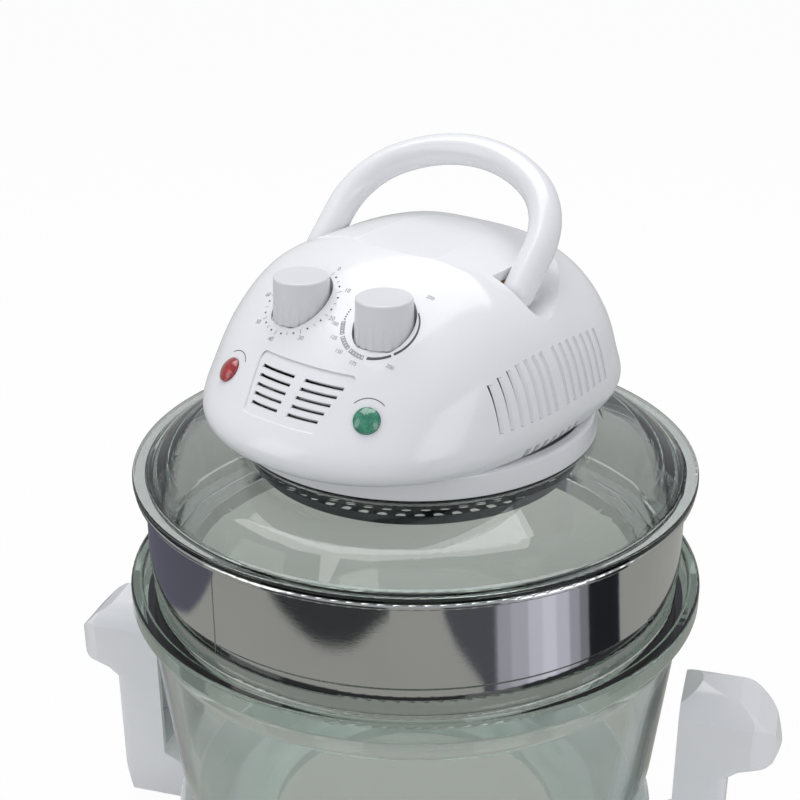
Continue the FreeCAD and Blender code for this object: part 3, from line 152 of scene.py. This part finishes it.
def metal(name, first, second, low, high, scale, stretch, relief, around=False, anisotropy=0.0):
    """Bare metal with brushed, turned or rolled marks, by how the noise is stretched."""
    made, tree, shader = material(name, Metallic=1.0, Anisotropic=anisotropy)
    shade(tree, shader, noise(tree, 14), first, second)
    marks = noise(tree, scale, stretch, 4.0, around)
    tree.links.new(spread(tree, marks, low, high), shader.inputs["Roughness"])
    bump(tree, shader, marks, relief)
    if anisotropy:
        tangent = tree.nodes.new("ShaderNodeTangent")
        tangent.direction_type = "RADIAL"
        tangent.axis = "Z"
        tree.links.new(tangent.outputs["Tangent"], shader.inputs["Tangent"])
    return made


def glass(name, tint, thickness_tint, density, low, high):
    """Clear glass whose thick edges go dark green; lamps shine through it."""
    made, tree, shader = material(name, Base_Color=(*tint, 1), IOR=1.5, Transmission_Weight=1.0)
    tree.links.new(spread(tree, noise(tree, 60), low, high), shader.inputs["Roughness"])
    depth = tree.nodes.new("ShaderNodeVolumeAbsorption")
    depth.inputs["Color"].default_value = (*thickness_tint, 1)
    depth.inputs["Density"].default_value = density
    output = tree.nodes["Material Output"]
    tree.links.new(depth.outputs["Volume"], output.inputs["Volume"])
    clear = tree.nodes.new("ShaderNodeBsdfTransparent")
    clear.inputs["Color"].default_value = (*tint, 1)
    through = tree.nodes.new("ShaderNodeMixShader")
    path = tree.nodes.new("ShaderNodeLightPath")
    tree.links.new(path.outputs["Is Shadow Ray"], through.inputs["Fac"])
    tree.links.new(shader.outputs["BSDF"], through.inputs[1])
    tree.links.new(clear.outputs["BSDF"], through.inputs[2])
    tree.links.new(through.outputs["Shader"], output.inputs["Surface"])
    return made


def lens(name, colour, deep):
    """Moulded lamp lens: coloured clear plastic with fine rings inside."""
    made, tree, shader = material(name, IOR=1.49, Transmission_Weight=0.55, Roughness=0.08,
                                  Coat_Weight=1.0, Coat_Roughness=0.03)
    shade(tree, shader, noise(tree, 420), colour, deep)
    bump(tree, shader, noise(tree, 700), 0.0002)
    return made


WHITE = (0.83, 0.832, 0.85)
looks = {
    "white_plastic": plastic("white_plastic", WHITE, (0.80, 0.805, 0.82), 0.20, 0.25, 0.35, 0.000004),
    "knob_plastic": plastic("knob_plastic", (0.72, 0.725, 0.74), (0.70, 0.705, 0.72), 0.27, 0.31, 0.2, 0),
    "glass": glass("glass", (0.985, 0.995, 0.99), (0.40, 0.52, 0.46), 42.0, 0.0, 0.01),
    "steel": metal("steel", (0.60, 0.605, 0.60), (0.56, 0.565, 0.56), 0.03, 0.09, 30, (1.2, 1, 90), 0.000006,
                   True, 0.3),
    "bright_metal": metal("bright_metal", (0.72, 0.72, 0.73), (0.66, 0.66, 0.67), 0.12, 0.25, 400, (1, 1, 1), 0.00001),
    "aluminium": metal("aluminium", (0.78, 0.78, 0.80), (0.70, 0.70, 0.72), 0.22, 0.36, 300, (1, 1, 1), 0.00002),
    "dark_metal": plastic("dark_metal", (0.045, 0.05, 0.055), (0.03, 0.034, 0.04), 0.30, 0.42, 0.3, 0.00003),
    "red_lens": lens("red_lens", (0.72, 0.02, 0.03), (0.36, 0.005, 0.01)),
    "green_lens": lens("green_lens", (0.10, 0.52, 0.34), (0.02, 0.30, 0.18)),
    "rubber": plastic("rubber", (0.04, 0.04, 0.042), (0.03, 0.03, 0.032), 0.65, 0.8, 0.0, 0.00006),
    "silicone": plastic("silicone", (0.62, 0.62, 0.60), (0.56, 0.56, 0.54), 0.45, 0.6, 0.0, 0.00004),
    "brass": metal("brass", (0.72, 0.55, 0.25), (0.62, 0.46, 0.2), 0.2, 0.34, 500, (1, 1, 1), 0.00001),
    "black_plastic": plastic("black_plastic", (0.03, 0.03, 0.035), (0.02, 0.02, 0.024), 0.4, 0.55, 0.0, 0.00004),
    "laminations": metal("laminations", (0.22, 0.22, 0.24), (0.14, 0.14, 0.16), 0.35, 0.5, 60, (1, 1, 30), 0.00008),
    "winding": plastic("winding", (0.42, 0.20, 0.07), (0.30, 0.13, 0.05), 0.35, 0.5, 0.2, 0.00008),
}


def dress_nodes():
    """Each carried CAD node takes the look of its material slot in the record."""
    slot_of = {part["node"]: part["material_slot"] for part in frame["record"]["subparts"]}
    for name, obj in nodes.items():
        obj.data.materials.clear()
        obj.data.materials.append(looks[slot_of[name]])


# Prints and small raised marks


def ink(name, colour, second):
    """Screen-printed ink, a little uneven."""
    return plastic(name, colour, second, 0.5, 0.65, 0.0, 0.00001)


dark_ink = ink("dark_ink", (0.07, 0.07, 0.08), (0.10, 0.10, 0.11))
grey_ink = ink("grey_ink", (0.30, 0.30, 0.31), (0.36, 0.36, 0.37))
skin = {}


def surface(node):
    """A search tree over a CAD node's faces, made once."""
    if node not in skin:
        mesh = nodes[node].data
        faces = [tuple(face.vertices) for face in mesh.polygons]
        skin[node] = BVHTree.FromPolygons([corner.co for corner in mesh.vertices], faces)
    return skin[node]


def lay_on(mesh, node, plane, lift):
    """Presses a flat mesh, drawn in a plane's millimetres, onto a node along the plane's normal."""
    tree = surface(node)
    inward = -(plane.to_3x3() @ Vector((0, 0, 1))).normalized()
    for corner in mesh.vertices:
        start = plane @ (corner.co * MM)
        place, normal, _, _ = tree.ray_cast(start - inward * 0.02, inward, 0.06)
        if place is None:
            raise RuntimeError(f"a mark misses {node} at {tuple(start)}")
        corner.co = place - inward * lift
    return mesh


def printed(name, mesh, node, plane, look, body, lift=0.00012):
    """One printed or raised mark as a piece that rides on its body."""
    lay_on(mesh, node, plane, lift)
    piece = bpy.data.objects.new(name, mesh)
    bpy.context.scene.collection.objects.link(piece)
    mesh.materials.append(look)
    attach(piece, body)
    return piece


def strip(rows):
    """A flat band of quads from rows of two points each."""
    corners = [(x, y, 0) for pair in rows for x, y in pair]
    faces = [(2 * i, 2 * i + 1, 2 * i + 3, 2 * i + 2) for i in range(len(rows) - 1)]
    mesh = bpy.data.meshes.new("band")
    mesh.from_pydata(corners, [], faces)
    return mesh


def arc_band(radius, start, end, width, end_width=None, centre=(0, 0), end_radius=None):
    """A round band, or one that narrows to end_width or winds in to end_radius."""
    steps = max(3, int(abs(end - start) / 3))
    rows = []
    for i in range(steps + 1):
        share = i / steps
        angle = math.radians(start + (end - start) * share)
        half = (width + ((end_width or width) - width) * share) / 2
        reach = radius + ((end_radius or radius) - radius) * share
        rows.append([(centre[0] + (reach + side * half) * math.cos(angle),
                      centre[1] + (reach + side * half) * math.sin(angle)) for side in (-1, 1)])
    return strip(rows)


def joined(meshes):
    """Several flat meshes as one."""
    corners, faces = [], []
    for mesh in meshes:
        first = len(corners)
        corners += [tuple(corner.co) for corner in mesh.vertices]
        faces += [tuple(first + i for i in face.vertices) for face in mesh.polygons]
        bpy.data.meshes.remove(mesh)
    whole = bpy.data.meshes.new("marks")
    whole.from_pydata(corners, [], faces)
    return whole


def numeral(text, x, y, height, turn=0.0):
    """Plain figures as a flat mesh, centred on x, y."""
    curve = bpy.data.curves.new("figures", "FONT")
    curve.body = text
    curve.size = height * 1.4
    curve.align_x = "CENTER"
    curve.align_y = "CENTER"
    curve.resolution_u = 4
    writer = bpy.data.objects.new("figures", curve)
    bpy.context.scene.collection.objects.link(writer)
    bpy.context.view_layer.update()
    mesh = bpy.data.meshes.new_from_object(writer)
    bpy.data.objects.remove(writer)
    bpy.data.curves.remove(curve)
    mesh.transform(Matrix.Translation((x, y, 0)) @ Matrix.Rotation(math.radians(turn), 4, "Z"))
    return mesh


def dial_plane(side):
    """The plane that touches the dome round a knob: from four points beside its well."""
    tree = surface("upper_housing")
    reach = 21
    marks = []
    for dx, dy in ((reach, 0), (0, reach), (-reach, 0), (0, -reach)):
        start = head_point(side * KNOB_SIDE + dx, -KNOB_FRONT + dy, 160)
        place = tree.ray_cast(start, Vector((0, 0, -1)))[0]
        marks.append(HEAD.inverted() @ place)
    across = (marks[0] - marks[2]).normalized()
    normal = across.cross(marks[1] - marks[3]).normalized()
    up = normal.cross(across)
    centre = sum(marks, Vector()) / 4
    centre.x = side * KNOB_SIDE * MM
    centre.y = -KNOB_FRONT * MM
    turn = Matrix((across, up, normal)).transposed().to_4x4()
    return HEAD @ Matrix.Translation(centre) @ turn


def polar(radius, angle):
    """A point of a dial from its radius and its angle."""
    return radius * math.cos(math.radians(angle)), radius * math.sin(math.radians(angle))


def timer_dial():
    """Minutes round the left knob: a dot between every two ticks and a figure at each ten."""
    zero, step, circle = 66, -21, 22.6
    plane = dial_plane(-1)
    dots, ticks, figures = [], [], []
    for index in range(13):
        angle = zero + step * index
        ten = index % 2 == 0
        inner, outer = polar(circle - (1.3 if ten else 0.9), angle), polar(circle + (1.5 if ten else 0.9), angle)
        across = polar(0.17, angle + 90)
        ticks.append(strip([[(x - across[0], y - across[1]), (x + across[0], y + across[1])]
                            for x, y in (inner, outer)]))
        if ten:
            figures.append(numeral(str(index * 5), *polar(circle + 4.6, angle), 2.7))
        if index < 12:
            dots.append(arc_band(0.2, 0, 360, 0.8 - 0.02, centre=polar(circle, angle + step / 2)))
    printed("timer_dots", joined(dots), "upper_housing", plane, dark_ink, "lid_head")
    printed("timer_ticks", joined(ticks), "upper_housing", plane, grey_ink, "lid_head")
    printed("timer_figures", joined(figures), "upper_housing", plane, grey_ink, "lid_head")


def thermostat_dial():
    """Degrees round the right knob: open blocks, then a solid band that narrows, with figures outside; the band's
    inner end is painted shade of the knob's well.
    """
    circle = 22.8
    plane = dial_plane(1)
    blocks = []
    for first, last, count in ((200, 222, 5), (225, 249, 5), (252, 277, 5)):
        step = (last - first) / count
        for index in range(count):
            start = first + step * index
            for radius in (circle - 1.0, circle + 1.0):
                blocks.append(arc_band(radius, start, start + step - 0.6, 0.45))
            for angle in (start + 0.5, start + step - 1.1):
                blocks.append(arc_band(circle, angle - 0.5, angle + 0.5, 2.2))
    # Dark ink bands: the first is print; the second winds in to the well's edge and is partly print, partly painted
    # shade cast by the knob's well.
    inked_bands_and_well_shade = [arc_band(circle - 0.3, 281, 315, 1.7, 1.4, end_radius=21.4),
             arc_band(21.2, 319, 405, 1.4, 0.7, end_radius=18.6)]
    dots = [arc_band(0.15, 0, 360, 0.6, centre=polar(circle, angle)) for angle in range(180, 199, 4)]
    figures = [numeral(text, *polar(circle + 4.9, angle), 2.2) for text, angle in (
        ("100", 203), ("125", 222), ("150", 243), ("175", 268), ("200", 311), ("250", 62))]
    printed("thermostat_blocks", joined(blocks), "upper_housing", plane, grey_ink, "lid_head")
    printed("thermostat_bands_and_painted_well_shade", joined(inked_bands_and_well_shade), "upper_housing", plane, dark_ink, "lid_head")
    printed("thermostat_dots", joined(dots), "upper_housing", plane, dark_ink, "lid_head")
    printed("thermostat_figures", joined(figures), "upper_housing", plane, grey_ink, "lid_head")


def lamp_arc(name, lamp, span, radius):
    """The thin printed arc over a lamp."""
    low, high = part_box(lamp)
    centre = HEAD.inverted() @ ((low + high) / 2)
    outward = Vector((centre.x, centre.y, 0.04)).normalized()
    across = Vector((0, 0, 1)).cross(outward).normalized()
    up = outward.cross(across)
    turn = Matrix((across, up, outward)).transposed().to_4x4()
    plane = HEAD @ Matrix.Translation(centre) @ turn
    printed(name, arc_band(radius, *span, 0.4), "upper_housing", plane, dark_ink, "lid_head")


# Fins that narrow the vents, each flush at one edge of its slot and sunk at the other

GRILLE_LOW = 67.6
GRILLE_PITCH = 3.55
GRILLE_SLOT = 1.7
GRILLE_RIB = 3.4
LOUVRE_LOW = 60
LOUVRE_TOP = 93.5
LOUVRE_FRONT = -55.5
LOUVRE_PITCH = 6.9
LOUVRE_GAP = 10.8
LOUVRE_LEAN = 9.5
LOUVRE_WIDTH = 2.6


def skin_depth(start, inward):
    """The place where a ray of the head's frame meets the dome, in the head's millimetres, or None."""
    tree = surface("upper_housing")
    turned = (HEAD.to_3x3() @ Vector(inward)).normalized()
    place = tree.ray_cast(head_point(*start), turned)[0]
    return None if place is None else (HEAD.inverted() @ place) / MM


def fin(rows):
    """One fin from rows of two points in the head's millimetres, with a little thickness behind it."""
    corners = [head_point(*point) for pair in rows for point in pair]
    faces = [(2 * i, 2 * i + 1, 2 * i + 3, 2 * i + 2) for i in range(len(rows) - 1)]
    mesh = bpy.data.meshes.new("fin")
    mesh.from_pydata(corners, [], faces)
    return mesh


def grille_fins():
    """Ten level fins in the front grille, each leaving a thin slit above it."""
    fins = []
    for index in range(5):
        height = GRILLE_LOW + GRILLE_PITCH * index
        half = 33 - 8.5 * (88 - height) / 24.5 - 3.5
        for side in (-1, 1):
            rows = []
            for step in range(9):
                x = side * (GRILLE_RIB + 0.05 + (half - GRILLE_RIB - 0.1) * step / 8)
                rib = skin_depth((x, -160, height + GRILLE_PITCH / 2), (0, 1, 0))
                if rib is None:
                    continue
                rows.append(((x, rib.y + 0.9, height - GRILLE_SLOT / 2 - 0.1), (x, rib.y + 1.9, height + 0.2)))
            fins.append(fin(rows))
    return fins


def louvre_fins():
    """Fourteen leaning fins in each side wall, flush at their back edge."""
    fins = []
    for side in (-1, 1):
        for index in range(14):
            place = LOUVRE_FRONT + LOUVRE_PITCH * (index if index < 7 else index - 1)
            place += LOUVRE_GAP if index >= 7 else 0
            away = place - (LOUVRE_FRONT + 6 * LOUVRE_PITCH)
            top = LOUVRE_TOP - (0.005 if away < 0 else 0.0012) * away**2
            lean = math.radians(LOUVRE_LEAN * min((place - LOUVRE_FRONT) / (6 * LOUVRE_PITCH), 1))
            rows = []
            for step in range(11):
                along = 0.1 + (top - LOUVRE_LOW - 0.3) * step / 10
                y = place - along * math.sin(lean)
                z = LOUVRE_LOW + along * math.cos(lean)
                wall = skin_depth((side * 160, y + 2.6, z), (-side, 0, 0))
                if wall is None:
                    continue
                edge = LOUVRE_WIDTH / 2
                rows.append(((wall.x - side * 0.4, y + edge, z), (wall.x - side * 2.0, y - 0.1, z)))
            fins.append(fin(rows))
    return fins


def make_fins():
    for name, meshes in (("grille_fins", grille_fins()), ("louvre_fins", louvre_fins())):
        piece = bpy.data.objects.new(name, joined(meshes))
        bpy.context.scene.collection.objects.link(piece)
        piece.data.materials.append(looks["white_plastic"])
        thick = piece.modifiers.new("thick", "SOLIDIFY")
        thick.thickness = 0.0004
        thick.offset = 0
        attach(piece, "lid_head")


SEAM_ANGLE = -117
SEAM_RADIUS = 158.5
SEAM_LOW = 211
SEAM_HIGH = 268


def ring_seam():
    """The welded joint down the steel ring."""
    corners = []
    for z in (SEAM_LOW, SEAM_HIGH):
        for turn in (-0.11, 0.11):
            angle = math.radians(SEAM_ANGLE + turn)
            corners.append((SEAM_RADIUS * math.cos(angle) * MM, SEAM_RADIUS * math.sin(angle) * MM, z * MM))
    mesh = bpy.data.meshes.new("ring_seam")
    mesh.from_pydata(corners, [], [(0, 1, 3, 2)])
    mesh.materials.append(metal("seam", (0.42, 0.42, 0.42), (0.34, 0.34, 0.34), 0.3, 0.45, 900, (1, 1, 1), 0.00001))
    piece = bpy.data.objects.new("ring_seam", mesh)
    bpy.context.scene.collection.objects.link(piece)
    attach(piece, "ring")


# The photograph's camera, fitted to the rims of the lid, the ring and the head

CAMERA_PLACE = Vector((0.2107, -0.7667, 0.6644))
CAMERA_RIGHT = Vector((0.961596, 0.274456, -0.002743))
CAMERA_UP = Vector((-0.109737, 0.393602, 0.912708))
CAMERA_LENS = 67.5


def make_camera():
    data = bpy.data.cameras.new("camera")
    data.lens = CAMERA_LENS
    data.sensor_width = 36
    camera = bpy.data.objects.new("camera", data)
    bpy.context.scene.collection.objects.link(camera)
    back = CAMERA_RIGHT.cross(CAMERA_UP).normalized()
    turn = Matrix((CAMERA_RIGHT, CAMERA_UP, back)).transposed().to_4x4()
    camera.matrix_world = Matrix.Translation(CAMERA_PLACE) @ turn
    bpy.context.scene.camera = camera


# Studio: pale floor, soft lamps, and cards that only reflections see


def backdrop_world():
    """Soft light from all round; the camera and the glass see plain white."""
    world = bpy.data.worlds.new("studio")
    bpy.context.scene.world = world
    world.use_nodes = True
    tree = world.node_tree
    light = tree.nodes["Background"]
    light.inputs["Color"].default_value = (0.90, 0.92, 0.97, 1)
    light.inputs["Strength"].default_value = 0.56
    seen = tree.nodes.new("ShaderNodeBackground")
    seen.inputs["Color"].default_value = (1, 1, 1, 1)
    path = tree.nodes.new("ShaderNodeLightPath")
    either = tree.nodes.new("ShaderNodeMath")
    either.operation = "MAXIMUM"
    tree.links.new(path.outputs["Is Camera Ray"], either.inputs[0])
    tree.links.new(path.outputs["Is Transmission Ray"], either.inputs[1])
    mix = tree.nodes.new("ShaderNodeMixShader")
    tree.links.new(either.outputs["Value"], mix.inputs["Fac"])
    tree.links.new(light.outputs["Background"], mix.inputs[1])
    tree.links.new(seen.outputs["Background"], mix.inputs[2])
    tree.links.new(mix.outputs["Shader"], tree.nodes["World Output"].inputs["Surface"])


def stage_mesh(name, corners, faces, look):
    mesh = bpy.data.meshes.new(name)
    mesh.from_pydata(corners, [], faces)
    mesh.materials.append(look)
    piece = bpy.data.objects.new(name, mesh)
    bpy.context.scene.collection.objects.link(piece)
    return piece


def make_floor():
    """White floor that keeps the object's shadow and shows nearly white to the camera."""
    made, tree, shader = material("floor", Base_Color=(0.86, 0.86, 0.86, 1), Roughness=0.9)
    glow = tree.nodes.new("ShaderNodeEmission")
    path = tree.nodes.new("ShaderNodeLightPath")
    share = tree.nodes.new("ShaderNodeMath")
    share.operation = "MULTIPLY"
    share.inputs[1].default_value = 0.96
    tree.links.new(path.outputs["Is Camera Ray"], share.inputs[0])
    mix = tree.nodes.new("ShaderNodeMixShader")
    tree.links.new(share.outputs["Value"], mix.inputs["Fac"])
    tree.links.new(shader.outputs["BSDF"], mix.inputs[1])
    tree.links.new(glow.outputs["Emission"], mix.inputs[2])
    mirrored = tree.nodes.new("ShaderNodeEmission")
    mirrored.inputs["Color"].default_value = (0.42, 0.42, 0.40, 1)
    last = tree.nodes.new("ShaderNodeMixShader")
    tree.links.new(path.outputs["Is Glossy Ray"], last.inputs["Fac"])
    tree.links.new(mix.outputs["Shader"], last.inputs[1])
    tree.links.new(mirrored.outputs["Emission"], last.inputs[2])
    tree.links.new(last.outputs["Shader"], tree.nodes["Material Output"].inputs["Surface"])
    reach = 6
    stage_mesh("floor", [(-reach, -reach, 0), (reach, -reach, 0), (reach, reach, 0), (-reach, reach, 0)],
               [(0, 1, 2, 3)], made)


def softbox(name, place, target, width, height, power):
    data = bpy.data.lights.new(name, "AREA")
    data.shape = "RECTANGLE"
    data.size = width
    data.size_y = height
    data.energy = power
    lamp = bpy.data.objects.new(name, data)
    bpy.context.scene.collection.objects.link(lamp)
    lamp.location = place
    lamp.rotation_mode = "QUATERNION"
    lamp.rotation_quaternion = (Vector(target) - Vector(place)).to_track_quat("-Z", "Y")


def glow_look(name, colour):
    made = bpy.data.materials.new(name)
    made.use_nodes = True
    tree = made.node_tree
    tree.nodes.remove(tree.nodes["Principled BSDF"])
    glow = tree.nodes.new("ShaderNodeEmission")
    glow.inputs["Color"].default_value = (*colour, 1)
    tree.links.new(glow.outputs["Emission"], tree.nodes["Material Output"].inputs["Surface"])
    return made


def floor_card(name, outline, colour):
    """A flat shape on the floor, given by angle in degrees and distance in mm, that only mirrors show."""
    corners = [(far * math.cos(math.radians(a)) * MM, far * math.sin(math.radians(a)) * MM, CARD_LIFT)
               for a, far in outline]
    card = stage_mesh(name, corners, [tuple(range(len(corners)))], glow_look(name, colour))
    for ray in ("camera", "diffuse", "transmission", "volume_scatter", "shadow"):
        setattr(card, f"visible_{ray}", False)


def floor_sector(first, last, near, far, step=6):
    """The outline of a sector of the floor between two distances."""
    count = max(1, round(abs(last - first) / step))
    angles = [first + (last - first) * i / count for i in range(count + 1)]
    return [(a, near) for a in angles] + [(a, far) for a in reversed(angles)]


CARD_LIFT = 0.001
CARD_NEAR = 420
CARD_FAR = 900


def make_cards():
    """What the steel ring mirrors in the floor: three dark shapes, and a bright window beside its frame."""
    floor_card("shape_left", [(140, CARD_NEAR), (178, 440), (191, 461), (198, 495), (203, 530), (206, 560),
                              (205, 590), (199, 650), (140, CARD_FAR)], (0.13, 0.13, 0.17))
    floor_card("shape_middle", [(231, 578), (235, 557), (241, 537), (249, 517), (256, 512), (264, 521),
                                (272, 552), (277, 573), (276, 600), (268, 660), (240, 660), (232, 605)],
               (0.05, 0.055, 0.058))
    floor_card("shape_right", [(295, 575), (299, 530), (305, 490), (309, 465), (310, CARD_NEAR),
                               (314, CARD_NEAR), (314, CARD_FAR), (290, CARD_FAR)], (0.10, 0.105, 0.12))
    window = (313.0, 319.0, 325.5, 331.0, 336.5, 342.0, 346.5, 350.5)
    for index, glow in enumerate((0.5, 0.62, 0.82, 0.95, 0.78, 0.5, 0.3)):
        floor_card(f"window_{index}", floor_sector(window[index], window[index + 1], CARD_NEAR, CARD_FAR),
                   (0.86 * glow, 0.86 * glow, 0.98 * glow))
    floor_card("window_frame", floor_sector(350.5, 366, CARD_NEAR, CARD_FAR), (0.02, 0.022, 0.026))


def make_lights():
    softbox("overhead", (-0.25, 0.35, 1.75), (0, 0, 0.3), 1.5, 1.1, 15)
    softbox("left_front", (-1.5, -1.1, 0.9), (0, 0, 0.35), 0.8, 1.4, 5)
    softbox("right_front", (1.3, -1.2, 0.8), (0, 0, 0.35), 0.7, 1.2, 4.5)


dress_nodes()
timer_dial()
thermostat_dial()
lamp_arc("red_lamp_arc", "red_lens", (48, 132), 12)
lamp_arc("green_lamp_arc", "green_lens", (48, 132), 12)
make_fins()
ring_seam()
make_camera()
backdrop_world()
make_floor()
make_cards()
make_lights()
bpy.context.scene.view_settings.view_transform = "Standard"
